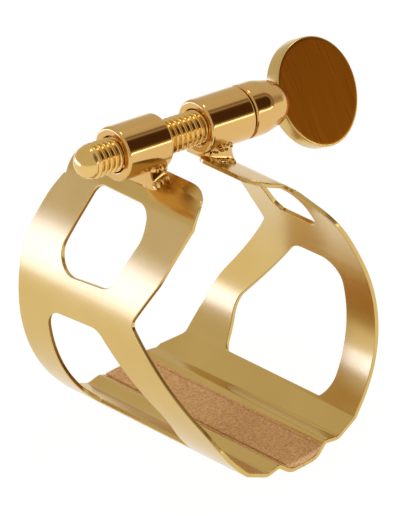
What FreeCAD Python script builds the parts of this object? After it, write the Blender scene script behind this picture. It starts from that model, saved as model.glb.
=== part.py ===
import FreeCAD, Part

# Alto saxophone ligature: a stamped and rolled brass band with a reed plate at its foot,
# closed at the top by one screw through two barrels that are brazed to the band's arms.
#
# Frame: Y is the axis of the mouthpiece bore, X runs from the threaded barrel to the thumb
# plate, +Z points from the reed plate to the screw. The origin is on the bore axis at
# mid-length. All lengths are millimetres and all angles are degrees.

import math
import os

V = FreeCAD.Vector
THROUGH = 40               # length of a cutter that runs right through

# ---- band: sheet and cross-section --------------------------------------------------
SHEET = 0.5                # thickness of the brass sheet
BAND_LENGTH = 30.8         # along the bore
HALF_WIDTH = 12.1          # inner half width at the height of the bore axis, the widest place
LOWER_R = 15.8             # inner radius of the wall below that height ...
LOWER_TURN = 39.0          # ... as far as this angle, then straight down to the fold
UPPER_R = 18.0             # inner radius of the wall above that height ...
UPPER_TURN = 18.0          # ... as far as this angle
ARM_R = 42.0               # inner radius of the flatter arc above that
ARM_TO = 29.0              # where that arc ends and the arm runs straight
SHOULDER_R = 3.4           # inner radius of the bend between arm and tab
# With the screw only finger tight, the left tab (-1) stands flatter than the right one (1).
ARM_STRAIGHT = {-1: 3.9, 1: 2.1}    # length of the straight stretch
TAB_NORMAL = {-1: 82.0, 1: 65.0}    # the tab's normal, measured above the outward direction
GAP_HALF = 2.2             # half of the opening between the two tabs

# ---- band: reed plate, half section measured from the middle -------------------------
TROUGH_HALF = 1.7          # half width of the flat bottom of the pad trough
TROUGH_Z = -13.5
CREST_X = 3.2              # the two ribs that the reed rests on
CREST_Z = -12.15
GROOVE_X = 5.0             # shallow groove outside each rib
GROOVE_Z = -12.5
CREASE_Z = -11.25          # fold between the reed plate and the wall
TROUGH_BEND = 1.6
RIB_BEND = 0.9
FOLD_BEND = 0.8

# ---- reed pad ------------------------------------------------------------------------
PAD_TOP = -12.4
GLUE = 0.1                 # adhesive film under the pad

# ---- screw line ----------------------------------------------------------------------
SCREW_X = 0.3              # middle between the barrels, beside the bore axis
SCREW_Z = 21.8             # height of the screw axis over the origin
SCREW_TILT = 8.5           # the relaxed arms leave the thumb plate's end lower by this
BARREL_R = 3.03
BARREL_IN = 2.65           # inner and outer end of each barrel, from the middle
BARREL_OUT = 8.85
BARREL_EDGE = 0.4          # rounding of the barrel ends
BARREL_BORE = 2.02
FOOT_FROM = 2.95           # the foot between barrel and tab, along X
FOOT_TO = {-1: 5.3, 1: 6.2}
FOOT_WIDTH = 3.6
BEAD = 0.45                # height and width of the braze beads along each foot

THREAD_R = 1.95            # M4 x 0.7
THREAD_PITCH = 0.7
THREAD_DEPTH = 0.36
TIP_END = -13.7            # rounded tip of the screw
TIP_R = 1.88
TIP_STEPS = 6              # straight facets along the tip's profile
THREAD_FROM = -11.75
THREAD_TURNS = 29
COLLAR_GAP = 0.12
COLLAR_EDGE = 0.25         # bevel next to the guide barrel
COLLAR_SOCKET = 1.5        # depth of the hole that takes the shank
COLLAR_STRAIGHT = 2.1      # full-width part of the collar
COLLAR_LENGTH = 6.0
NOSE_R = 1.5
PLATE_CENTRE = 19.1        # middle of the thumb plate along the screw
PLATE_DROP = 0.36          # and below the screw axis
PLATE_HALF_LENGTH = 5.31   # half axes of the oval plate
PLATE_HALF_HEIGHT = 6.12
PLATE_THICK = 2.2
PLATE_EDGE = 0.35
PLATE_TURN = -25.0         # how far the plate is turned from upright at rest

# ---- side outlines of the openings, as (y, z, corner radius) --------------------------
# The left wall is at -X, the right one at +X. Each wall has a small window above a large
# one, and its lower edge opposite the plain end runs up to a V-shaped notch.
LEFT_WINDOW = [(10.3, 6.6, 2.4), (0.3, 7.4, 2.4), (-2.9, 13.6, 3.0), (-2.6, 16.65, 1.7),
               (6.0, 16.7, 1.8)]
RIGHT_WINDOW = [(-10.6, 9.7, 1.4), (-3.6, 9.7, 1.4), (-3.6, 15.0, 1.8), (-11.2, 15.0, 2.0)]
LEFT_OPENING = [(10.5, 2.1, 2.2), (1.8, 2.6, 2.6), (-7.8, -5.9, 2.6), (-6.6, -11.4, 1.4),
                (10.5, -11.4, 2.2)]
RIGHT_OPENING = [(-10.5, 4.3, 2.6), (-3.4, 4.2, 3.4), (7.8, -6.4, 2.6), (6.6, -11.4, 1.8),
                 (-10.5, -11.4, 2.8)]
LEFT_NOTCH = [(-16.4, -10.0, 0.0), (-14.3, -5.0, 4.0), (-3.7, 5.0, 0.8), (-7.2, 10.2, 8.0),
              (-9.9, 17.4, 0.0), (-9.9, 26.0, 0.0), (-20.0, 26.0, 0.0), (-20.0, -10.0, 0.0)]
RIGHT_NOTCH = [(13.9, -11.3, 0.0), (13.0, -9.0, 9.0), (11.0, -4.6, 9.0), (0.6, 6.4, 0.8),
               (0.9, 9.6, 6.0), (0.4, 17.0, 0.0), (0.4, 26.0, 0.0), (20.0, 26.0, 0.0),
               (20.0, -11.3, 0.0)]
LEFT_TOP = [(15.8, 7.6, 0.0), (13.1, 14.2, 12.0), (11.4, 16.6, 1.0), (11.4, 26.0, 0.0),
            (20.0, 26.0, 0.0), (20.0, 7.6, 0.0)]
RIGHT_TOP = [(-15.7, 9.0, 0.0), (-14.9, 12.9, 4.0), (-10.2, 15.9, 1.5), (-10.0, 26.0, 0.0),
             (-20.0, 26.0, 0.0), (-20.0, 9.0, 0.0)]
PLAIN_CORNER = 3.2         # rounding of the tab corners, seen from above: left tab, +Y end
NOTCH_CORNER = 4.8         # left tab, -Y end
RIGHT_CORNER = 2.0         # right tab, +Y end
TOP_CORNER = 3.2           # right tab, -Y end
FLANGE_BEVEL = [(5.4, 15.5), (8.6, 15.5), (8.6, 12.7)]    # (x, y), reed plate's free corner
FLANGE_BEVEL_TOP = -10.9


def at_angle(radius, degrees):
    """Point of the X-Z plane at an angle above +X."""
    a = math.radians(degrees)
    return V(radius * math.cos(a), 0, radius * math.sin(a))


def rounded(points, closed):
    """Edges of a polyline of (point, corner radius), with each corner rounded."""
    count = len(points)
    starts, ends, arcs = [], [], []
    for i, (corner, radius) in enumerate(points):
        at_end = not closed and i in (0, count - 1)
        if at_end or radius == 0:
            starts.append(corner)
            ends.append(corner)
            arcs.append(None)
            continue
        back = (points[i - 1][0] - corner).normalize()
        ahead = (points[(i + 1) % count][0] - corner).normalize()
        half = back.getAngle(ahead) / 2
        reach = radius / math.tan(half)
        inward = (back + ahead).normalize()
        middle = corner + inward * (radius / math.sin(half) - radius)
        starts.append(corner + back * reach)
        ends.append(corner + ahead * reach)
        arcs.append(middle)
    edges = []
    for i in range(count):
        if arcs[i] is not None:
            edges.append(Part.Arc(starts[i], arcs[i], ends[i]).toShape())
        if closed or i < count - 1:
            following = starts[(i + 1) % count]
            if (following - ends[i]).Length > 1e-6:
                edges.append(Part.makeLine(ends[i], following))
    return edges


def prism_x(outline, side):
    """Cutter through one wall: a (y, z, radius) outline run along X on that side."""
    points = [(V(0, y, z), radius) for y, z, radius in outline]
    face = Part.Face(Part.Wire(rounded(points, True)))
    return face.extrude(V(side * THROUGH, 0, 0))


def along_bore(face):
    """Extrude a section that lies in the plane of the band's far end."""
    solid = face.extrude(V(0, BAND_LENGTH, 0))
    solid.translate(V(0, -BAND_LENGTH / 2, 0))
    return solid


# ---- band -----------------------------------------------------------------------------
def arm_edges(side):
    """Inner surface of one half, drawn at +X, from the fold up to the gap.

    Also returns the lowest point of the wall, the fold and the centre of the shoulder bend.
    """
    widest = V(HALF_WIDTH, 0, 0)
    lower_centre = V(HALF_WIDTH - LOWER_R, 0, 0)
    low = lower_centre + at_angle(LOWER_R, -LOWER_TURN)
    lower_middle = lower_centre + at_angle(LOWER_R, -LOWER_TURN / 2)
    down = at_angle(1, -LOWER_TURN - 90)
    fold = low + down * ((low.z - CREASE_Z) / -down.z)

    upper_centre = V(HALF_WIDTH - UPPER_R, 0, 0)
    high = upper_centre + at_angle(UPPER_R, UPPER_TURN)
    upper_middle = upper_centre + at_angle(UPPER_R, UPPER_TURN / 2)
    arm_centre = high - at_angle(ARM_R, UPPER_TURN)
    arm_end = arm_centre + at_angle(ARM_R, ARM_TO)
    arm_middle = arm_centre + at_angle(ARM_R, (UPPER_TURN + ARM_TO) / 2)

    shoulder = arm_end + at_angle(ARM_STRAIGHT[side], ARM_TO + 90)
    bend_centre = shoulder - at_angle(SHOULDER_R, ARM_TO)
    tab = bend_centre + at_angle(SHOULDER_R, TAB_NORMAL[side])
    bend_middle = bend_centre + at_angle(SHOULDER_R, (ARM_TO + TAB_NORMAL[side]) / 2)
    inward = at_angle(1, TAB_NORMAL[side] + 90)
    edge = tab + inward * ((tab.x - GAP_HALF) / -inward.x)
    edges = [
        Part.Arc(low, lower_middle, widest).toShape(),
        Part.Arc(widest, upper_middle, high).toShape(),
        Part.Arc(high, arm_middle, arm_end).toShape(),
        Part.makeLine(arm_end, shoulder),
        Part.Arc(shoulder, bend_middle, tab).toShape(),
        Part.makeLine(tab, edge),
    ]
    return edges, low, fold, bend_centre


def plate_edges(low, fold):
    """Inner surface of the reed plate, from wall to wall."""
    half = [(low, 0), (fold, FOLD_BEND), (V(GROOVE_X, 0, GROOVE_Z), FOLD_BEND),
            (V(CREST_X, 0, CREST_Z), RIB_BEND), (V(TROUGH_HALF, 0, TROUGH_Z), TROUGH_BEND)]
    mirrored = [(V(-p.x, 0, p.z), radius) for p, radius in reversed(half)]
    return rounded(half + mirrored, False)


def mirror_x(shape):
    return shape.mirror(V(0, 0, 0), V(1, 0, 0))


def band_section():
    """Closed section of the whole band in the X-Z plane."""
    right, low, fold, _ = arm_edges(1)
    left, _, _, _ = arm_edges(-1)
    inner = Part.Wire(Part.__sortEdges__(
        right + [mirror_x(e) for e in left] + plate_edges(low, fold)))
    return inner.makeOffset2D(-SHEET, 0, True, True, False)


def tab_corner(side, y, outward, r):
    """Cutter that rounds one corner of a tab, seen from above."""
    corner = V(side * GAP_HALF, y, 12)
    block = Part.makeBox(r, r, 12)
    block.translate(V(0 if side > 0 else -r, 0 if outward < 0 else -r, 0))
    pillar = Part.makeCylinder(r, 12, V(side * r, -outward * r, 0))
    cutter = block.cut(pillar)
    cutter.translate(corner)
    return cutter


def make_band():
    body = along_bore(band_section())
    cutters = [prism_x(outline, -1) for outline in (LEFT_WINDOW, LEFT_OPENING, LEFT_NOTCH, LEFT_TOP)]
    cutters += [prism_x(outline, 1)
                for outline in (RIGHT_WINDOW, RIGHT_OPENING, RIGHT_NOTCH, RIGHT_TOP)]
    cutters += [tab_corner(-1, LEFT_NOTCH[4][0], -1, NOTCH_CORNER),
                tab_corner(-1, LEFT_TOP[3][0], 1, PLAIN_CORNER),
                tab_corner(1, RIGHT_NOTCH[5][0], 1, RIGHT_CORNER),
                tab_corner(1, RIGHT_TOP[3][0], -1, TOP_CORNER)]
    bevel = [V(x, y, TROUGH_Z - SHEET) for x, y in FLANGE_BEVEL]
    depth = FLANGE_BEVEL_TOP - TROUGH_Z + SHEET
    cutters.append(Part.Face(Part.makePolygon(bevel + bevel[:1])).extrude(V(0, 0, depth)))
    return body.cut(cutters)


# ---- reed pad ---------------------------------------------------------------------------
def pocket_section(top, shrink):
    """Section of the trough between the ribs, up to a height and shrunk all round."""
    slope = (CREST_X - TROUGH_HALF) / (CREST_Z - TROUGH_Z)
    half_top = TROUGH_HALF + (PAD_TOP - TROUGH_Z) * slope
    points = [(V(-half_top, 0, PAD_TOP), 0), (V(half_top, 0, PAD_TOP), 0),
              (V(TROUGH_HALF, 0, TROUGH_Z), TROUGH_BEND),
              (V(-TROUGH_HALF, 0, TROUGH_Z), TROUGH_BEND)]
    face = Part.Face(Part.Wire(rounded(points, True)))
    if shrink:
        face = face.makeOffset2D(-shrink)
    lid = Part.makeBox(20, 1, 10, V(-10, -0.5, top))
    return face.cut(lid)


def make_pad():
    return along_bore(pocket_section(PAD_TOP, GLUE).Faces[0])


def make_glue():
    pocket = along_bore(pocket_section(PAD_TOP - GLUE, 0).Faces[0])
    return pocket.cut(make_pad())


# ---- hardware on the screw line ---------------------------------------------------------
def on_screw_line(shape):
    """Move a shape from the X axis to the tilted screw axis."""
    shape.rotate(V(0, 0, 0), V(0, 1, 0), SCREW_TILT)
    shape.translate(V(SCREW_X, 0, SCREW_Z))
    return shape


def turned(points):
    """Solid of revolution about the X axis, from (x, radius) points."""
    outline = Part.makePolygon([V(x, 0, r) for x, r in points + points[:1]])
    return Part.Face(outline).revolve(V(0, 0, 0), V(1, 0, 0), 360)


def make_barrel(side):
    start = BARREL_IN if side > 0 else -BARREL_OUT
    barrel = Part.makeCylinder(BARREL_R, BARREL_OUT - BARREL_IN, V(start, 0, 0), V(1, 0, 0))
    rims = [e for e in barrel.Edges if isinstance(e.Curve, Part.Circle)]
    barrel = barrel.makeFillet(BARREL_EDGE, rims)
    bore = Part.makeCylinder(BARREL_BORE, THROUGH, V(-THROUGH / 2, 0, 0), V(1, 0, 0))
    return on_screw_line(barrel.cut(bore))


def foot_base(side, lift):
    """Edges along the outer surface of a tab and its bend, raised by a lift, drawn at +X."""
    _, _, _, centre = arm_edges(side)
    radius = SHOULDER_R + SHEET
    rise = V(0, 0, lift)
    turn = math.degrees(math.acos((FOOT_TO[side] - centre.x) / radius))
    low = centre + at_angle(radius, turn) + rise
    middle = centre + at_angle(radius, (turn + TAB_NORMAL[side]) / 2) + rise
    high = centre + at_angle(radius, TAB_NORMAL[side]) + rise
    along = at_angle(1, TAB_NORMAL[side] + 90)
    near = high + along * ((high.x - FOOT_FROM) / -along.x)
    return [Part.makeLine(near, high), Part.Arc(high, middle, low).toShape()], near, low


def make_foot(side):
    """Saddle that fills the space between a tab and its barrel."""
    base, near, low = foot_base(side, 0)
    top = [V(low.x, 0, SCREW_Z), V(near.x, 0, SCREW_Z)]
    rest = [Part.makeLine(low, top[0]), Part.makeLine(top[0], top[1]), Part.makeLine(top[1], near)]
    block = Part.Face(Part.Wire(base + rest)).extrude(V(0, FOOT_WIDTH, 0))
    block.translate(V(0, -FOOT_WIDTH / 2, 0))
    if side < 0:
        block = mirror_x(block)
    shell = Part.makeCylinder(BARREL_R, THROUGH, V(-THROUGH / 2, 0, 0), V(1, 0, 0))
    return block.cut(on_screw_line(shell))


def make_beads(side):
    """Braze beads along the two long sides of a foot, where it stands on the tab."""
    base, near, low = foot_base(side, 0)
    upper, upper_near, upper_low = foot_base(side, BEAD)
    rest = [Part.makeLine(low, upper_low)] + upper + [Part.makeLine(upper_near, near)]
    section = Part.Face(Part.Wire(Part.__sortEdges__(base + rest)))
    beads = []
    for start in (-FOOT_WIDTH / 2 - BEAD, FOOT_WIDTH / 2):
        bead = section.extrude(V(0, BEAD, 0))
        bead.translate(V(0, start, 0))
        beads.append(bead if side > 0 else mirror_x(bead))
    return Part.makeCompound(beads)


def make_screw():
    """Threaded shank with a rounded tip, ending inside the collar."""
    root = THREAD_R - THREAD_DEPTH
    quarter = math.pi / 2
    tip_centre = TIP_END + TIP_R * math.cos(quarter / TIP_STEPS)    # leaves a small flat end
    points = [(TIP_END, 0)]
    for step in range(1, TIP_STEPS + 1):
        a = quarter * step / TIP_STEPS
        points.append((tip_centre - TIP_R * math.cos(a), TIP_R * math.sin(a)))
    points.append((THREAD_FROM, root))
    for turn in range(THREAD_TURNS):
        start = THREAD_FROM + turn * THREAD_PITCH
        points.append((start + THREAD_PITCH * 0.4, THREAD_R))
        points.append((start + THREAD_PITCH * 0.6, THREAD_R))
        points.append((start + THREAD_PITCH, root))
    collar_start = BARREL_OUT + COLLAR_GAP
    points.append((collar_start + COLLAR_SOCKET, root))
    points.append((collar_start + COLLAR_SOCKET, 0))
    return on_screw_line(turned(points))


def make_collar():
    """Round collar with a bullet nose, bored for the shank and slotted for the plate."""
    start = BARREL_OUT + COLLAR_GAP
    shoulder = start + COLLAR_STRAIGHT
    end = start + COLLAR_LENGTH
    bend = V((shoulder + end) / 2 + 0.2, 0, (BARREL_R + NOSE_R) / 2 + 0.45)
    edges = [
        Part.makeLine(V(start, 0, 0), V(start, 0, BARREL_R - COLLAR_EDGE)),
        Part.makeLine(V(start, 0, BARREL_R - COLLAR_EDGE), V(start + COLLAR_EDGE, 0, BARREL_R)),
        Part.makeLine(V(start + COLLAR_EDGE, 0, BARREL_R), V(shoulder, 0, BARREL_R)),
        Part.Arc(V(shoulder, 0, BARREL_R), bend, V(end, 0, NOSE_R)).toShape(),
        Part.makeLine(V(end, 0, NOSE_R), V(end, 0, 0)),
        Part.makeLine(V(end, 0, 0), V(start, 0, 0)),
    ]
    body = Part.Face(Part.Wire(edges)).revolve(V(0, 0, 0), V(1, 0, 0), 360)
    root = THREAD_R - THREAD_DEPTH
    socket = Part.makeCylinder(root, COLLAR_SOCKET, V(start, 0, 0), V(1, 0, 0))
    return on_screw_line(body.cut(socket).cut(plate_blank()))


def plate_blank():
    """The oval thumb plate, on the X axis, turned to its rest position."""
    circle = Part.makeCylinder(1, 1, V(0, -0.5, 0), V(0, 1, 0))
    stretch = FreeCAD.Matrix()
    stretch.scale(PLATE_HALF_LENGTH, PLATE_THICK, PLATE_HALF_HEIGHT)
    plate = circle.transformGeometry(stretch)
    rims = [e for e in plate.Edges if e.Length > 4 * PLATE_THICK]
    plate = plate.makeFillet(PLATE_EDGE, rims)
    plate.translate(V(PLATE_CENTRE, 0, -PLATE_DROP))
    plate.rotate(V(0, 0, 0), V(1, 0, 0), PLATE_TURN)
    return plate


def make_plate():
    return on_screw_line(plate_blank())


NODES = {
    "band": make_band,
    "reed_pad": make_pad,
    "pad_adhesive": make_glue,
    "threaded_barrel": lambda: make_barrel(-1),
    "threaded_barrel_foot": lambda: make_foot(-1),
    "threaded_barrel_braze": lambda: make_beads(-1),
    "guide_barrel": lambda: make_barrel(1),
    "guide_barrel_foot": lambda: make_foot(1),
    "guide_barrel_braze": lambda: make_beads(1),
    "clamp_screw": make_screw,
    "screw_collar": make_collar,
    "thumb_plate": make_plate,
}

os.makedirs("parts", exist_ok=True)
for name, make in NODES.items():
    shape = make()
    shape.exportStep(f"parts/{name}.step")
    box = shape.BoundBox
    print(f"{name}: valid {shape.isValid()}, solids {len(shape.Solids)}, "
          f"volume {shape.Volume:.2f}, x {box.XMin:.2f} {box.XMax:.2f}, "
          f"y {box.YMin:.2f} {box.YMax:.2f}, z {box.ZMin:.2f} {box.ZMax:.2f}")
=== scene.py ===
import math

import bpy
import numpy as np
from mathutils import Matrix, Vector
from mathutils.geometry import delaunay_2d_cdt


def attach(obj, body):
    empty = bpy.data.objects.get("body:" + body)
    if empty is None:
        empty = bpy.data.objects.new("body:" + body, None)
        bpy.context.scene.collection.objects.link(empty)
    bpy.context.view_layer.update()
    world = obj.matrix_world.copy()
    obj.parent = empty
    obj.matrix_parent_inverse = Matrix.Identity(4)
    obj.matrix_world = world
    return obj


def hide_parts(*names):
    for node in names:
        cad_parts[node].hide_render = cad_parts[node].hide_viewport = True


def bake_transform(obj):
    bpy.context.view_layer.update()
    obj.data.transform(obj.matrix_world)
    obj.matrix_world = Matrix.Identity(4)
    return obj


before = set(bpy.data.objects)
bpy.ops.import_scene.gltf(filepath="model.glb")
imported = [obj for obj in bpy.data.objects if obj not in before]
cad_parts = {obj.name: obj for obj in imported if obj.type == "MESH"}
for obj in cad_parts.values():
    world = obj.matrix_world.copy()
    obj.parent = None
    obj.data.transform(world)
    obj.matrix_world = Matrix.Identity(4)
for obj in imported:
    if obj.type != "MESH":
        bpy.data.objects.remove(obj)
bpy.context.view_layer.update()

MM = 0.001                      # lengths below are millimetres, as in the CAD

# ---- sizes shared with the CAD -------------------------------------------------------
SHEET = 0.5
BAND_HALF = 15.4
SCREW_X = 0.3
SCREW_Z = 21.8
SCREW_TILT = math.radians(8.5)
BARREL_R = 3.03
BARREL_IN = 2.65
BARREL_OUT = 8.85
BARREL_BORE = 2.06
THREAD_R = 1.95
THREAD_ROOT = 1.55
PITCH = 0.7
TIP_END = -13.7
COLLAR_START = BARREL_OUT + 0.12


# ---- small geometry kit --------------------------------------------------------------
def rounded_path(points, closed, step=0.12):
    """Points of a polyline of (u, v, corner radius) with its corners rounded."""
    pts = [np.array(p[:2], float) for p in points]
    out = []
    count = len(pts)
    for i, p in enumerate(pts):
        radius = points[i][2]
        if radius == 0 or (not closed and i in (0, count - 1)):
            out.append(p)
            continue
        back = pts[i - 1] - p
        ahead = pts[(i + 1) % count] - p
        back /= np.linalg.norm(back)
        ahead /= np.linalg.norm(ahead)
        half = math.acos(np.clip(back @ ahead, -1, 1)) / 2
        middle = (back + ahead) / np.linalg.norm(back + ahead)
        centre = p + middle * (radius / math.sin(half))
        start = p + back * (radius / math.tan(half)) - centre
        turn = math.pi - 2 * half
        sign = 1 if back[0] * ahead[1] - back[1] * ahead[0] < 0 else -1
        steps = max(4, int(radius * turn / step))
        for k in range(steps + 1):
            a = sign * turn * k / steps
            c, s = math.cos(a), math.sin(a)
            out.append(centre + np.array([c * start[0] - s * start[1], s * start[0] + c * start[1]]))
    return np.array(out)


def resample(path, closed, step):
    """The same path with points an even distance apart, at most step."""
    if closed:
        path = np.vstack([path, path[:1]])
    run = np.r_[0, np.cumsum(np.linalg.norm(np.diff(path, axis=0), axis=1))]
    count = max(2, int(math.ceil(run[-1] / step)) + 1)
    at = np.linspace(0, run[-1], count)
    out = np.column_stack([np.interp(at, run, path[:, k]) for k in range(path.shape[1])])
    return out[:-1] if closed else out


def new_object(name, verts, faces, normals=None):
    """Smooth-shaded mesh object from millimetre points, with its own normals where given."""
    mesh = bpy.data.meshes.new(name)
    mesh.from_pydata([tuple(v) for v in np.asarray(verts) * MM], [], faces)
    mesh.validate()
    obj = bpy.data.objects.new(name, mesh)
    bpy.context.scene.collection.objects.link(obj)
    mesh.polygons.foreach_set("use_smooth", [True] * len(mesh.polygons))
    if normals is not None:
        mesh.normals_split_custom_set_from_vertices([tuple(n) for n in normals])
    mesh.update()
    return obj


def rings(first, count, around):
    """Vertex numbers of a number of rings that follow each other."""
    return [list(range(first + k * around, first + (k + 1) * around)) for k in range(count)]


def ring_faces(rows, flip=False):
    """Quads between each ring of vertex numbers and the next, or triangles at a pole."""
    faces = []
    for lower, upper in zip(rows, rows[1:]):
        for i in range(len(lower)):
            j = (i + 1) % len(lower)
            quad = [lower[i], lower[j], upper[j], upper[i]]
            face = [v for k, v in enumerate(quad) if v not in quad[:k]]
            if len(face) > 2:
                faces.append(face[::-1] if flip else face)
    return faces


def tube_faces(rows, flip=False):
    """Faces of a closed tube: its sides and a flat cap over each end."""
    caps = [rows[0], rows[-1][::-1]] if flip else [rows[0][::-1], rows[-1]]
    return ring_faces(rows, flip) + caps


def screw_line(points):
    """From the screw's own frame, with its axis on X, to the CAD frame."""
    c, s = math.cos(SCREW_TILT), math.sin(SCREW_TILT)
    p = np.asarray(points, float)
    tilted = np.column_stack([p[:, 0] * c + p[:, 2] * s, p[:, 1], p[:, 2] * c - p[:, 0] * s])
    return tilted + (SCREW_X, 0, SCREW_Z)


def lathe(name, points, segments=160, closed=False):
    """Solid of revolution about the screw axis, from rounded (x, r, corner radius) points."""
    path = rounded_path(points, closed, 0.05)
    keep = [0] + [i for i in range(1, len(path)) if np.linalg.norm(path[i] - path[i - 1]) > 1e-5]
    path = path[keep]
    # flats get a point beside each end, so that their normals stay flat
    rows = []
    count = len(path)
    for i in range(count if closed else count - 1):
        a, b = path[i], path[(i + 1) % count]
        rows.append(a)
        length = np.linalg.norm(b - a)
        if length > 0.2:
            inset = min(0.03, length / 4)
            rows.append(a + (b - a) * inset / length)
            for t in np.linspace(0, 1, max(2, int(length / 0.6)) + 1)[1:-1]:
                rows.append(a + (b - a) * t)
            rows.append(b - (b - a) * inset / length)
    if not closed:
        rows.append(path[-1])
    rows = np.array(rows)
    angles = np.linspace(0, 2 * math.pi, segments, endpoint=False)
    verts, index = [], []
    for x, r in rows:
        if r < 1e-4:
            index.append([len(verts)] * segments)
            verts.append((x, 0, 0))
            continue
        index.append(list(range(len(verts), len(verts) + segments)))
        verts += [(x, r * math.cos(a), r * math.sin(a)) for a in angles]
    if closed:
        index.append(index[0])
    return new_object(name, screw_line(verts), ring_faces(index))


# ---- band sheet ----------------------------------------------------------------------
HALF_WIDTH = 12.1
LOWER_R = 15.8
LOWER_TURN = math.radians(39)
UPPER_ARCS = ((18.0, 18), (42.0, 11))     # (inner radius, degrees) above the widest place
SHOULDER_R = 3.4
ARM_ANGLE = 29                             # the arm's normal above the outward direction
ARM_STRAIGHT = {-1: 3.9, 1: 2.1}           # left (-1) and right (1) half, as in the CAD
TAB_NORMAL = {-1: 82, 1: 65}
GAP_HALF = 2.2
WALL_RUN = 8.6                             # run at which the wall starts, past the fold
BEND_SMOOTHING = 23                        # samples over which a change of curvature is spread
REED_PLATE = [(0, -13.5, 0), (1.7, -13.5, 1.6), (3.2, -12.15, 0.9), (5.0, -12.5, 0.8),
              (7.52, -11.25, 0.8)]         # (x, z, corner radius) from the trough's middle outwards


def band_path(side):
    """Inner surface of one half of the band: (x, z) from the middle of the trough to the gap."""
    low = (HALF_WIDTH - LOWER_R + LOWER_R * math.cos(LOWER_TURN), -LOWER_R * math.sin(LOWER_TURN))
    path = list(rounded_path([*REED_PLATE, (*low, 0)], False, 0.05))
    here = np.array(low)
    heading = math.pi / 2 - LOWER_TURN
    shoulder = (SHOULDER_R, TAB_NORMAL[side] - ARM_ANGLE)
    arcs = ((LOWER_R, math.degrees(LOWER_TURN)), *UPPER_ARCS, None, shoulder)
    for arc in arcs:
        if arc is None:
            here = here + ARM_STRAIGHT[side] * np.array([math.cos(heading), math.sin(heading)])
            path.append(here)
            continue
        radius, turn = arc[0], math.radians(arc[1])
        centre = here + radius * np.array([-math.sin(heading), math.cos(heading)])
        steps = max(8, int(radius * turn / 0.1))
        for k in range(1, steps + 1):
            a = heading + turn * k / steps
            path.append(centre + radius * np.array([math.sin(a), -math.cos(a)]))
        heading += turn
        here = path[-1]
    run = (here[0] - GAP_HALF) / -math.cos(heading)
    path.append(here + run * np.array([math.cos(heading), math.sin(heading)]))
    return resample(np.array(path), False, 0.02)


def sheet_tables(side):
    """Path, run along it and normals of one half, closely spaced."""
    path = band_path(side)
    run = np.r_[0, np.cumsum(np.linalg.norm(np.diff(path, axis=0), axis=1))]
    tangent = np.gradient(path, axis=0)
    tangent /= np.linalg.norm(tangent, axis=1)[:, None]
    # the tangent is smoothed a little, because real bends have no jump in curvature
    kernel = np.hanning(BEND_SMOOTHING) / np.hanning(BEND_SMOOTHING).sum()
    margin = BEND_SMOOTHING // 2
    padded = np.pad(tangent, ((margin, margin), (0, 0)), mode="edge")
    tangent = np.column_stack([np.convolve(padded[:, k], kernel, "valid") for k in (0, 1)])
    tangent /= np.linalg.norm(tangent, axis=1)[:, None]
    normal = np.column_stack([tangent[:, 1], -tangent[:, 0]])
    return {"path": path, "run": run, "normal": normal}


SHEETS = {side: sheet_tables(side) for side in (-1, 1)}


def surface(side, s):
    """Mid-sheet point, outward normal and tangent, in (x, z), at run s."""
    sheet = SHEETS[side]
    inner, n = (np.column_stack([np.interp(s, sheet["run"], sheet[key][:, k]) for k in (0, 1)])
                for key in ("path", "normal"))
    n /= np.linalg.norm(n, axis=1)[:, None]
    t = np.column_stack([-n[:, 1], n[:, 0]])
    return inner + n * SHEET / 2, n, t


def run_at_height(side, z, shift):
    """Run at which the surface shifted outwards from mid-sheet reaches height z."""
    sheet = SHEETS[side]
    wall = np.searchsorted(sheet["run"], WALL_RUN)
    heights = sheet["path"][wall:, 1] + sheet["normal"][wall:, 1] * (SHEET / 2 + shift)
    heights = np.maximum.accumulate(heights + np.arange(len(heights)) * 1e-9)    # always rising
    return np.interp(z, heights, sheet["run"][wall:])


# Outlines are (y, z, corner radius), read on the face of the sheet that is shift from its middle.
LEFT = {
    "sign": -1,
    "shift": SHEET / 2,
    "windows": [
        [(10.3, 6.6, 2.4), (0.3, 7.4, 2.4), (-2.9, 13.6, 3.0), (-2.6, 16.65, 1.7), (6.0, 16.7, 1.8)],
        [(10.5, 2.1, 2.2), (1.8, 2.6, 2.6), (-7.8, -5.9, 2.6), (-6.6, -11.4, 1.4), (10.5, -11.4, 2.2)],
    ],
    # plain end from the top down, then the notched end from the foot up
    "plain": [(11.4, 16.8, 0), (11.4, 16.6, 0.2), (13.1, 14.2, 12.0), (15.4, 8.87, 8.0), (15.4, -11.0, 0)],
    "notched": [(-15.4, -11.0, 0), (-15.4, -7.6, 1.5), (-14.3, -5.0, 4.0), (-3.7, 5.0, 0.8),
                (-7.2, 10.2, 8.0), (-9.9, 16.4, 0.2), (-9.9, 16.6, 0)],
    "foot": [],
    "corners": (4.8, 3.2),                 # tab corners at the notched and the plain end
}
RIGHT = {
    "sign": 1,
    "shift": -SHEET / 2,
    "windows": [
        [(-10.6, 9.7, 1.4), (-3.6, 9.7, 1.4), (-3.6, 15.0, 1.8), (-11.2, 15.0, 2.0)],
        [(-10.5, 4.3, 2.6), (-3.4, 4.2, 3.4), (7.8, -6.4, 2.6), (6.6, -11.4, 1.8), (-10.5, -11.4, 2.8)],
    ],
    "plain": [(-10.1, 17.6, 0), (-10.15, 16.5, 0.2), (-10.2, 15.9, 1.5), (-14.9, 12.9, 4.0),
              (-15.4, 10.46, 3.0), (-15.4, -11.0, 0)],
    "notched": [(13.4, -11.0, 0), (13.0, -9.0, 7.0), (11.0, -4.6, 9.0), (0.6, 6.4, 0.8), (0.9, 9.6, 6.0),
                (0.42, 16.6, 0.2), (0.4, 17.6, 0)],
    "foot": [(15.4, 5.9), (13.6, 8.3)],    # (y, run): bevelled corner of the reed plate
    "corners": (2.0, 3.2),
}
RIM = 0.11                       # rounding of the sheet's cut edges
RIM_ANGLES = (30, 60, 90)
OUTLINE_STEP = 0.22
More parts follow.
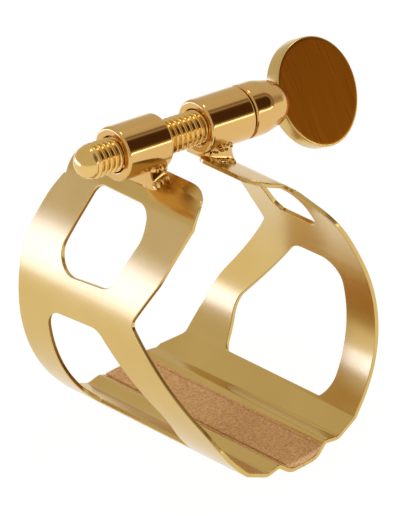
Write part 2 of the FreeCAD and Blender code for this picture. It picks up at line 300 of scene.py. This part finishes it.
CLEAR_OF_OUTLINE = 0.12          # inner points nearer than this to an outline are left out
SEAM_RUN = 0.02                  # border points below this run lie on the seam of the two halves
CLOSE_UP_TO = 9.6                # inner points are close together up to this run
CLOSE_AT_TAB = 8.0               # and over this stretch, back from the gap
SPACING = {"plate": 0.16, "wall": 0.42, "tab": 0.2, "y": 0.44}    # between inner points
CORNER_RUN = 5.0                 # stretch of each tab that its rounded corners may take


def outline_runs(side, outline, closed):
    """A (y, z) outline as evenly spaced (y, run) points."""
    path = resample(rounded_path(outline, closed), closed, 0.1)
    path[:, 1] = run_at_height(side["sign"], path[:, 1], side["shift"])
    return path


def sheet_outline(side):
    """Outer border of half the sheet in (y, run), from the trough's middle and back."""
    plain = outline_runs(side, side["plain"], False)
    notched = outline_runs(side, side["notched"], False)
    top = SHEETS[side["sign"]]["run"][-1]
    y_plain = side["plain"][0][0]
    y_notched = side["notched"][-1][0]
    at_notch, at_plain = side["corners"]
    below = top - CORNER_RUN
    corners = [(y_notched, below, 0), (y_notched, top, at_notch), (y_plain, top, at_plain),
               (y_plain, below, 0)]
    edge = rounded_path(corners, False)
    notched = notched[notched[:, 1] < below]
    plain = plain[plain[:, 1] < below]
    low = [(side["sign"] * BAND_HALF, 0.0)] + side["foot"]
    return np.vstack([low, notched, edge, plain, [(-side["sign"] * BAND_HALF, 0.0)]])


def inside(points, polygon):
    """Which points lie inside a closed polygon."""
    x, y = points[:, 0], points[:, 1]
    hit = np.zeros(len(points), bool)
    j = len(polygon) - 1
    for i in range(len(polygon)):
        xi, yi = polygon[i]
        xj, yj = polygon[j]
        if yi != yj:
            cross = ((yi > y) != (yj > y)) & (x < (xj - xi) * (y - yi) / (yj - yi) + xi)
            hit ^= cross
        j = i
    return hit


def area(loop):
    """Signed area of a closed loop."""
    x, y = loop[:, 0], loop[:, 1]
    return 0.5 * np.sum(x * np.roll(y, -1) - np.roll(x, -1) * y)


def outward(loop, hole):
    """Unit directions out of the metal at each point of a closed loop."""
    d = np.roll(loop, -1, axis=0) - np.roll(loop, 1, axis=0)
    d /= np.linalg.norm(d, axis=1)[:, None]
    n = np.column_stack([d[:, 1], -d[:, 0]])
    return -n if (area(loop) > 0) == hole else n


def distance(points, loop):
    """Distance from each point to the nearest point of a loop."""
    best = np.full(len(points), np.inf)
    for q in loop:
        best = np.minimum(best, np.hypot(points[:, 0] - q[0], points[:, 1] - q[1]))
    return best


def sheet_loops(side):
    """Edges of the flat faces as (y, run) loops, border first, with directions out of the metal."""
    border = resample(sheet_outline(side), True, OUTLINE_STEP)
    windows = [resample(outline_runs(side, w, True), True, OUTLINE_STEP) for w in side["windows"]]
    loops, outs = [], []
    for k, loop in enumerate([border] + windows):
        out = outward(loop, k > 0)
        inset = loop - out * RIM
        if k == 0:
            inset[loop[:, 1] < SEAM_RUN, 1] = 0.0
            inset[:, 1] = np.maximum(inset[:, 1], 0.0)
        loops.append(inset)
        outs.append(out)
    return loops, outs


def in_metal(points, loops):
    """Which (y, run) points lie inside the border and outside every window."""
    found = inside(points, loops[0])
    for window in loops[1:]:
        found &= ~inside(points, window)
    return found


def sheet_grid(side, loops):
    """Points inside the sheet, closer together across the reed plate and the tab."""
    top = SHEETS[side["sign"]]["run"][-1]
    tab_start = top - CLOSE_AT_TAB
    runs = np.r_[np.arange(0.0, CLOSE_UP_TO, SPACING["plate"]),
                 np.arange(CLOSE_UP_TO, tab_start, SPACING["wall"]),
                 np.arange(tab_start, top, SPACING["tab"])]
    ys = np.arange(-BAND_HALF + 0.3, BAND_HALF, SPACING["y"])
    grid = np.array([(y, s) for s in runs for y in ys])
    grid = grid[in_metal(grid, loops) | (grid[:, 1] == 0.0)]
    for loop in loops:
        grid = grid[distance(grid, loop) >= CLEAR_OF_OUTLINE]
    return grid


def triangulate(loops, grid):
    """Points and triangles over the metal, and the new number of each loop point."""
    points, edges = [], []
    for loop in loops:
        base = len(points)
        points += [tuple(p) for p in loop]
        edges += [(base + i, base + (i + 1) % len(loop)) for i in range(len(loop))]
    points += [tuple(p) for p in grid]
    flat, _, tris, origin, _, _ = delaunay_2d_cdt([Vector(p) for p in points], edges, [], 0, 1e-6)
    flat = np.array([tuple(p) for p in flat])
    tris = np.array(tris)
    tris = tris[in_metal(flat[tris].mean(axis=1), loops)]
    number = {old: new for new, olds in enumerate(origin) for old in olds}
    return flat, tris, number


def on_sheet(sign, yr, offset, push):
    """3-D points at (y, run), offset outwards from mid-sheet and pushed along the sheet."""
    centre, n, t = surface(sign, yr[:, 1])
    p = centre + n * offset + t * push[:, 1:2]
    return np.column_stack([sign * p[:, 0], yr[:, 0] + push[:, 0], p[:, 1]])


def sheet_normals(sign, yr, n_part, out):
    """3-D directions at (y, run): a share of the sheet's normal plus a direction along the sheet."""
    _, n, t = surface(sign, yr[:, 1])
    d = n * n_part + t * out[:, 1:2]
    return np.column_stack([sign * d[:, 0], out[:, 0], d[:, 1]])


def make_half(name, side):
    """Half of the band: two faces of one sheet joined by rounded rims."""
    sign, half = side["sign"], SHEET / 2
    loops, outs = sheet_loops(side)
    flat, tris, number = triangulate(loops, sheet_grid(side, loops))
    still = np.zeros_like(flat)
    verts = [on_sheet(sign, flat, way * half, still) for way in (1, -1)]
    normals = [sheet_normals(sign, flat, way, still) for way in (1, -1)]
    count = len(flat)
    faces = []
    for a, b, c in tris:
        tri = (a, b, c) if sign > 0 else (a, c, b)
        faces.append(tri)
        faces.append(tuple(count + v for v in reversed(tri)))
    total = 2 * count
    base = 0
    for k, (loop, out) in enumerate(zip(loops, outs)):
        front = [number[base + i] for i in range(len(loop))]
        base += len(loop)
        rows = [front]
        for way, angles in ((1, RIM_ANGLES), (-1, RIM_ANGLES[::-1])):
            for angle in angles:
                a = math.radians(angle)
                push = out * RIM * math.sin(a)
                if k == 0:
                    push[loop[:, 1] <= 0.0, 1] = 0.0
                verts.append(on_sheet(sign, loop, way * (half - RIM + RIM * math.cos(a)), push))
                normals.append(sheet_normals(sign, loop, way * math.cos(a), out * math.sin(a)))
                rows.append(list(range(total, total + len(loop))))
                total += len(loop)
        rows.append([count + i for i in front])
        faces += ring_faces(rows, flip=((area(loop) > 0) == (k == 0)) == (sign > 0))
    normals = np.vstack(normals)
    normals /= np.linalg.norm(normals, axis=1)[:, None] + 1e-12
    return new_object(name, np.vstack(verts), faces, normals)


# ---- hardware ------------------------------------------------------------------------
def make_barrel(name, side):
    """One barrel, with its bore, rounded at both ends."""
    lo, hi = (BARREL_IN, BARREL_OUT) if side > 0 else (-BARREL_OUT, -BARREL_IN)
    inner, outer = 0.12, 0.34              # rounding at the bore and at the outside
    points = [(lo, BARREL_BORE, inner), (lo, BARREL_R, outer), (hi, BARREL_R, outer),
              (hi, BARREL_BORE, inner)]
    return lathe(name, points, closed=True)


def thread_height(phase):
    """Height of the thread above its root, from 0 to 1, at a share of one turn."""
    root, flank = 0.06, 0.80               # the rest is the crest
    wave = 1 - abs(2 * phase - 1)
    height = min(1.0, max(0.0, (wave - root) / flank))
    return height * height * (3 - 2 * height)


def make_screw(name):
    """Threaded shank with a rounded tip, as one closed mesh whose thread is a helix."""
    around, rows_per_turn = 96, 14
    tip_length, tip_r, tip_step = 1.9, 1.88, 0.07
    fade_from, fade_length = tip_length * 0.75, 0.5
    last = BARREL_OUT + 1.4                # inside the collar
    tip_rows = TIP_END + tip_step * np.arange(1, math.ceil(tip_length / tip_step))
    xs = np.r_[tip_rows, np.arange(TIP_END + tip_length, last, PITCH / rows_per_turn), last]
    verts = [(TIP_END, 0, 0)]
    for x in xs:
        along = x - TIP_END
        share = min(1.0, along / tip_length)
        tip = tip_r * math.sqrt(max(0.0, 1 - (1 - share) ** 2))
        grow = max(0.0, min(1.0, (along - fade_from) / fade_length))
        for i in range(around):
            a = 2 * math.pi * i / around
            height = thread_height((along / PITCH - i / around) % 1.0)
            full = THREAD_ROOT + (THREAD_R - THREAD_ROOT) * height
            r = tip + (full - tip) * grow
            verts.append((x, -r * math.sin(a), r * math.cos(a)))
    rows = rings(1, len(xs), around)
    end = len(verts)
    verts.append((last, 0, 0))
    faces = ring_faces([[0] * around] + rows + [[end] * around])
    return new_object(name, screw_line(verts), faces)


def make_collar(name):
    """Collar with a bullet nose."""
    start = COLLAR_START
    points = [(start, 0, 0), (start, BARREL_R, 0.28), (start + 2.2, BARREL_R, 4.0),
              (start + 4.6, 2.5, 2.2), (start + 5.9, 1.3, 0.7), (start + 6.05, 0, 0)]
    return lathe(name, points)


PLATE = {"centre": 19.1, "turn": math.radians(-25), "length": 5.31, "height": 6.12, "egg": 0.036,
         "thick": 2.2, "drop": 0.36, "edge": 0.22}
FLAT_SHARES = (0.06, 0.2, 0.35, 0.5, 0.65, 0.8, 0.92)    # rings on a flat face, as shares of the oval
EDGE_STEPS = 6


def plate_point(share, inset, h, t):
    """Point at angle t on a ring of the thumb plate, at a distance h from its middle plane."""
    u = (PLATE["length"] - inset) * math.cos(t)
    w = (PLATE["height"] - inset) * math.sin(t)
    u *= 1 + PLATE["egg"] * w / PLATE["height"]
    u, w = u * share, w * share - PLATE["drop"]
    c, s = math.cos(PLATE["turn"]), math.sin(PLATE["turn"])
    return (PLATE["centre"] + u, -h * c - w * s, -h * s + w * c)


def make_plate(name):
    """Oval thumb plate with rounded rims; its flat faces use material 1, its rim material 0."""
    around, half, edge = 200, PLATE["thick"] / 2, PLATE["edge"]
    face_rows = [(share, 0.0, half) for share in FLAT_SHARES]
    for k in range(EDGE_STEPS + 1):
        a = math.pi / 2 * k / EDGE_STEPS
        face_rows.append((1.0, edge * (1 - math.sin(a)), half - edge * (1 - math.cos(a))))
    rows = face_rows + [(share, inset, -h) for share, inset, h in reversed(face_rows)]
    angles = [2 * math.pi * i / around for i in range(around)]
    verts = [plate_point(*row, t) for row in rows for t in angles]
    count = len(verts)
    verts += [plate_point(0, 0, half, 0), plate_point(0, 0, -half, 0)]
    poles = [[count] * around], [[count + 1] * around]
    faces = ring_faces(poles[0] + rings(0, len(rows), around) + poles[1], flip=True)
    flats = len(FLAT_SHARES)
    slots = [int(not flats < k < len(rows) - flats) for k in range(len(rows) + 1) for _ in angles]
    obj = new_object(name, screw_line(verts), faces)
    obj.data.materials.append(BRASS)
    obj.data.materials.append(PLATE_BRASS)
    obj.data.polygons.foreach_set("material_index", slots)
    return obj


SHOULDER_FROM = 14.0             # the bends between arms and tabs lie above this height
FOOT = {"from": 2.95, "to": {-1: 5.3, 1: 6.2}, "half": 1.75, "flare": 0.55, "rise": 10,
        "sunk": 0.2, "in_barrel": 0.35}
FOOT_ENDS = ((0.0, 0.25), (0.06, 0.1), (0.2, 0.0))       # (distance from an end, inset of the sides)


def tab_height(side, x):
    """Height of the tab's outer surface at a distance x from the middle."""
    sheet = SHEETS[side]
    upper = sheet["path"][:, 1] > SHOULDER_FROM
    outer = (sheet["path"] + sheet["normal"] * SHEET)[upper]
    return float(np.interp(-x, -outer[:, 0], outer[:, 1]))


def barrel_underside(x, y, radius):
    """Height of the lower side of a cylinder of that radius about the screw axis."""
    middle = SCREW_Z - (x - SCREW_X) * math.tan(SCREW_TILT)
    return middle - math.sqrt(radius ** 2 - y ** 2) / math.cos(SCREW_TILT)


def make_foot(name, side):
    """Saddle between tab and barrel, with sides that sweep out to both."""
    lo, hi, rise = FOOT["from"], FOOT["to"][side], FOOT["rise"]
    stations = [(lo + along, inset) for along, inset in FOOT_ENDS]
    stations += [(x, 0.0) for x in np.linspace(lo + 0.5, hi - 0.5, 8)]
    stations += [(hi - along, inset) for along, inset in reversed(FOOT_ENDS)]
    levels = [k / rise for k in range(rise + 1)]
    verts = []
    for x, inset in stations:
        low = tab_height(side, x) - FOOT["sunk"]
        for way, heights in ((-1, levels), (1, levels[::-1])):
            for t in heights:
                y = way * (FOOT["half"] - inset + FOOT["flare"] * ((1 - t) ** 3 + 0.5 * t ** 3))
                top = barrel_underside(side * x, y, BARREL_R - FOOT["in_barrel"])
                verts.append((side * x, y, low + (top - low) * t))
    rows = rings(0, len(stations), 2 * len(levels))
    return new_object(name, verts, tube_faces(rows, flip=side > 0))


BEAD = {"radius": 0.36, "inset": 0.1, "beside": 0.34, "wander": 0.1, "wide": 1.15, "above_tab": 0.06}


def bead_radius(share, phase):
    """Radius of a braze bead at a share of its length: lumpy, and smaller at both ends."""
    lump = 1 + 0.30 * math.sin(9.1 * share * math.pi + phase) + 0.22 * math.sin(23 * share + 2 * phase)
    return BEAD["radius"] * lump * math.sqrt(max(0.02, 1 - (2 * share - 1) ** 8))


def make_braze(name, side):
    """Uneven braze beads along both long sides of a saddle, on the tab and under the barrel."""
    verts, faces = [], []
    around, steps = 14, 40
    length = FOOT["to"][side] - FOOT["from"] - 2 * BEAD["inset"]
    for way, on_barrel in ((-1, False), (-1, True), (1, False), (1, True)):
        base = len(verts)
        for k in range(steps + 1):
            share = k / steps
            x = FOOT["from"] + BEAD["inset"] + length * share
            radius = bead_radius(share, way + 3 * on_barrel)
            y = way * (FOOT["half"] + BEAD["beside"] + BEAD["wander"] * math.sin(17 * share))
            if on_barrel:
                z = barrel_underside(side * x, y, BARREL_R)
            else:
                z = tab_height(side, x) + BEAD["above_tab"]
            for i in range(around):
                a = 2 * math.pi * i / around
                out = radius * BEAD["wide"] * math.cos(a)
                verts.append((side * x, y + out, z + radius * math.sin(a)))
        faces += tube_faces(rings(base, steps + 1, around), flip=side < 0)
    return new_object(name, verts, faces)


PAD_SECTION = [(-2.62, -12.5, 0.12), (2.62, -12.5, 0.12), (1.66, -13.4, 0.5), (-1.66, -13.4, 0.5)]


def make_pad(name):
    """Pad strip with a flat top and rounded corners; its grain is in the material."""
    section = resample(rounded_path(PAD_SECTION, True, 0.08), True, 0.12)
    ys = np.arange(-BAND_HALF, BAND_HALF + 0.01, 0.2)
    verts = [(x, y, z) for y in ys for x, z in section]
    return new_object(name, verts, tube_faces(rings(0, len(ys), len(section))))


# ---- materials -----------------------------------------------------------------------
def material(name):
    """New material, with its nodes, links, shader and texture coordinates."""
    mat = bpy.data.materials.new(name)
    mat.use_nodes = True
    nodes, links = mat.node_tree.nodes, mat.node_tree.links
    shader = nodes["Principled BSDF"]
    coords = nodes.new("ShaderNodeTexCoord")
    return mat, nodes, links, shader, coords


def noise(nodes, links, coords, scale, detail, stretch=(1, 1, 1)):
    """Noise texture in object space."""
    mapping = nodes.new("ShaderNodeMapping")
    mapping.inputs["Scale"].default_value = stretch
    links.new(coords.outputs["Object"], mapping.inputs["Vector"])
    tex = nodes.new("ShaderNodeTexNoise")
    tex.inputs["Scale"].default_value = scale
    tex.inputs["Detail"].default_value = detail
    links.new(mapping.outputs["Vector"], tex.inputs["Vector"])
    return tex


def ramp(nodes, links, source, stops):
    """Colour ramp from (position, colour) stops."""
    node = nodes.new("ShaderNodeValToRGB")
    node.color_ramp.elements[0].position = stops[0][0]
    node.color_ramp.elements[0].color = (*stops[0][1], 1)
    node.color_ramp.elements[1].position = stops[-1][0]
    node.color_ramp.elements[1].color = (*stops[-1][1], 1)
    for position, colour in stops[1:-1]:
        element = node.color_ramp.elements.new(position)
        element.color = (*colour, 1)
    links.new(source, node.inputs["Fac"])
    return node


def remap(nodes, links, source, low, high, to_low, to_high):
    """Map a value from the range low to high onto another range."""
    node = nodes.new("ShaderNodeMapRange")
    node.inputs["From Min"].default_value = low
    node.inputs["From Max"].default_value = high
    node.inputs["To Min"].default_value = to_low
    node.inputs["To Max"].default_value = to_high
    links.new(source, node.inputs["Value"])
    return node


def bump(nodes, links, shader, source, strength, distance_m):
    """Small relief on the shader's surface."""
    node = nodes.new("ShaderNodeBump")
    node.inputs["Strength"].default_value = strength
    node.inputs["Distance"].default_value = distance_m
    links.new(source, node.inputs["Height"])
    links.new(node.outputs["Normal"], shader.inputs["Normal"])


def lacquered_brass(name, light, deep, rough, wave=0.25):
    """Polished brass under gold lacquer, with faint unevenness from stamping and buffing."""
    mat, nodes, links, shader, coords = material(name)
    shader.inputs["Metallic"].default_value = 1.0
    broad = noise(nodes, links, coords, scale=120, detail=2)
    tint = ramp(nodes, links, broad.outputs["Fac"], [(0.3, deep), (0.7, light)])
    links.new(tint.outputs["Color"], shader.inputs["Base Color"])
    fine = noise(nodes, links, coords, scale=2600, detail=4)
    gloss = remap(nodes, links, fine.outputs["Fac"], 0.3, 0.7, rough * 0.94, rough * 1.06)
    links.new(gloss.outputs["Result"], shader.inputs["Roughness"])
    ripple = noise(nodes, links, coords, scale=260, detail=1.5)
    bump(nodes, links, shader, ripple.outputs["Fac"], strength=wave, distance_m=0.00002)
    return mat


def brushed_brass(name, light, deep):
    """Brass brushed in one direction, under the same lacquer."""
    mat, nodes, links, shader, coords = material(name)
    shader.inputs["Metallic"].default_value = 1.0
    lines = noise(nodes, links, coords, scale=5200, detail=3, stretch=(1, 0.02, 0.02))
    tint = ramp(nodes, links, lines.outputs["Fac"], [(0.3, deep), (0.7, light)])
    links.new(tint.outputs["Color"], shader.inputs["Base Color"])
    gloss = remap(nodes, links, lines.outputs["Fac"], 0.3, 0.7, 0.27, 0.32)
    links.new(gloss.outputs["Result"], shader.inputs["Roughness"])
    bump(nodes, links, shader, lines.outputs["Fac"], strength=0.03, distance_m=0.00001)
    return mat


def cork(name):
    """Grainy brown pad: pressed granules with darker specks."""
    mat, nodes, links, shader, coords = material(name)
    grain = noise(nodes, links, coords, scale=4200, detail=6)
    cells = nodes.new("ShaderNodeTexVoronoi")
    cells.inputs["Scale"].default_value = 3600
    links.new(coords.outputs["Object"], cells.inputs["Vector"])
    mix = nodes.new("ShaderNodeMix")
    mix.data_type = "FLOAT"
    mix.inputs[0].default_value = 0.5
    links.new(grain.outputs["Fac"], mix.inputs[2])
    links.new(cells.outputs["Distance"], mix.inputs[3])
    tint = ramp(nodes, links, mix.outputs[0],
                [(0.26, (0.51, 0.25, 0.09)), (0.38, (0.66, 0.355, 0.14)), (0.52, (0.77, 0.44, 0.185)),
                 (0.70, (0.86, 0.53, 0.24))])
    links.new(tint.outputs["Color"], shader.inputs["Base Color"])
    gloss = remap(nodes, links, grain.outputs["Fac"], 0.3, 0.7, 0.65, 0.9)
    links.new(gloss.outputs["Result"], shader.inputs["Roughness"])
    bump(nodes, links, shader, mix.outputs[0], strength=0.8, distance_m=0.00012)
    return mat


def plain_floor(name):
    """White backdrop that mostly glows by itself, so it stays even and takes no shadow."""
    mat, nodes, links, shader, coords = material(name)
    soft = noise(nodes, links, coords, scale=8, detail=2)
    tint = ramp(nodes, links, soft.outputs["Fac"], [(0.3, (0.955,) * 3), (0.7, (0.965,) * 3)])
    shader.inputs["Base Color"].default_value = (0.08, 0.08, 0.08, 1)
    links.new(tint.outputs["Color"], shader.inputs["Emission Color"])
    shader.inputs["Emission Strength"].default_value = 1.0
    shader.inputs["Roughness"].default_value = 0.9
    shader.inputs["Specular IOR Level"].default_value = 0.0
    return mat


BRASS = lacquered_brass("band_brass", (0.68, 0.475, 0.165), (0.64, 0.435, 0.14), 0.20)
BARREL_BRASS = lacquered_brass("barrel_brass", (0.72, 0.45, 0.16), (0.69, 0.42, 0.14), 0.12, 0.15)
THREAD_BRASS = lacquered_brass("thread_brass", (0.80, 0.54, 0.19), (0.75, 0.49, 0.16), 0.15, 0.3)
BRAZE = lacquered_brass("braze_brass", (0.85, 0.58, 0.22), (0.72, 0.44, 0.14), 0.16, 1.0)
PLATE_BRASS = brushed_brass("plate_brass", (0.57, 0.188, 0.011), (0.52, 0.168, 0.0095))
CORK = cork("pad_cork")


def dress(obj, mat):
    """Give a piece its material, as its only slot, in place of any it had."""
    obj.data.materials.clear()
    obj.data.materials.append(mat)


# ---- assembly ------------------------------------------------------------------------
ARMS = ((-1, "left", "threaded_barrel", "left_arm_end"),
        (1, "right", "guide_barrel", "right_arm_end"))

for (side, word, _, body), outlines in zip(ARMS, (LEFT, RIGHT)):
    half = make_half("band_" + word, outlines)
    dress(half, BRASS)
    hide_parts("band")
    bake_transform(half)

screw = make_screw("screw_thread")
dress(screw, THREAD_BRASS)
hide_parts("clamp_screw")
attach(screw, "screw")

collar = make_collar("collar")
dress(collar, BARREL_BRASS)
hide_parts("screw_collar")
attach(collar, "screw")

plate = make_plate("plate")
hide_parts("thumb_plate")
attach(plate, "screw")

for side, word, node, body in ARMS:
    barrel = make_barrel("barrel_" + word, side)
    dress(barrel, BARREL_BRASS)
    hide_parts(node)
    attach(barrel, body)

pad = make_pad("pad_strip")
dress(pad, CORK)
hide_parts("reed_pad")
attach(pad, "band_body")

for side, word, node, body in ARMS:
    foot = make_foot("foot_" + word, side)
    dress(foot, BARREL_BRASS)
    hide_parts(node + "_foot")
    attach(foot, body)
    braze = make_braze("braze_" + word, side)
    dress(braze, BRAZE)
    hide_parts(node + "_braze")
    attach(braze, body)
dress(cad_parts["pad_adhesive"], CORK)


# ---- floor, light and camera ---------------------------------------------------------
FLOOR_Z = -14.1                  # 0.1 mm below the reed plate
bpy.ops.mesh.primitive_plane_add(size=6, location=(0, 0, FLOOR_Z * MM))
floor = bpy.context.object
floor.name = "floor"
floor.data.materials.append(plain_floor("floor"))


def softbox(name, position, target, size, power, colour=(1, 1, 1)):
    """Area light that the camera doesn't see, in metres and watts."""
    light = bpy.data.lights.new(name, "AREA")
    light.shape = "RECTANGLE"
    light.size, light.size_y = size
    light.energy = power
    light.color = colour
    obj = bpy.data.objects.new(name, light)
    bpy.context.scene.collection.objects.link(obj)
    obj.location = position
    obj.rotation_euler = (Vector(target) - Vector(position)).to_track_quat("-Z", "Y").to_euler()
    obj.visible_camera = False


softbox("side", (-0.150, 0.155, 0.010), (0, 0, 0.010), (0.24, 0.042), 0.19, (0.25, 0.35, 1.0))
softbox("top", (0.30, 0.10, 0.62), (0, 0, 0), (0.10, 0.30), 0.5)
softbox("low", (0.48, -0.80, 0.02), (0, 0, 0), (0.60, 0.035), 0.35)

# the room is pale, with a dark spot and a darker ring around the direction +X, -Y and up
world = bpy.data.worlds.new("studio")
bpy.context.scene.world = world
world.use_nodes = True
nodes, links = world.node_tree.nodes, world.node_tree.links
direction = nodes.new("ShaderNodeTexCoord")
toward_dark = nodes.new("ShaderNodeVectorMath")
toward_dark.operation = "DOT_PRODUCT"
toward_dark.inputs[1].default_value = (0.53, -0.70, 0.48)
links.new(direction.outputs["Generated"], toward_dark.inputs[0])
room = ramp(nodes, links, toward_dark.outputs["Value"],
            [(0.79, (0.69, 0.65, 0.57)), (0.86, (0.17, 0.09, 0.04)),
             (0.905, (0.48, 0.40, 0.30)), (0.94, (0.07, 0.03, 0.012))])
links.new(room.outputs["Color"], nodes["Background"].inputs["Color"])
nodes["Background"].inputs["Strength"].default_value = 1.0
bpy.context.scene.view_settings.view_transform = "Standard"

# the camera stands on the -X, -Y side, high up, and is rolled a little
BACK = Vector((-0.5179, -0.7050, 0.4845))
UP = Vector((0.3929, 0.3071, 0.8668))
ACROSS = Vector((0.7599, -0.6392, -0.1180))
MIDDLE = Vector((0.3, 0, 7.3))
SHIFT_ACROSS, SHIFT_DOWN = 1.253, 0.761
CAMERA_DISTANCE = 909.85
aim = (MIDDLE + ACROSS * SHIFT_ACROSS - UP * SHIFT_DOWN) * MM
camera_data = bpy.data.cameras.new("camera")
camera_data.lens = 587.2
camera_data.sensor_width = 36
camera_data.sensor_fit = "AUTO"
camera_data.clip_end = 20
camera = bpy.data.objects.new("camera", camera_data)
bpy.context.scene.collection.objects.link(camera)
camera.location = aim + BACK * CAMERA_DISTANCE * MM
camera.rotation_euler = Matrix((ACROSS, UP, BACK)).transposed().to_euler()
bpy.context.scene.camera = camera
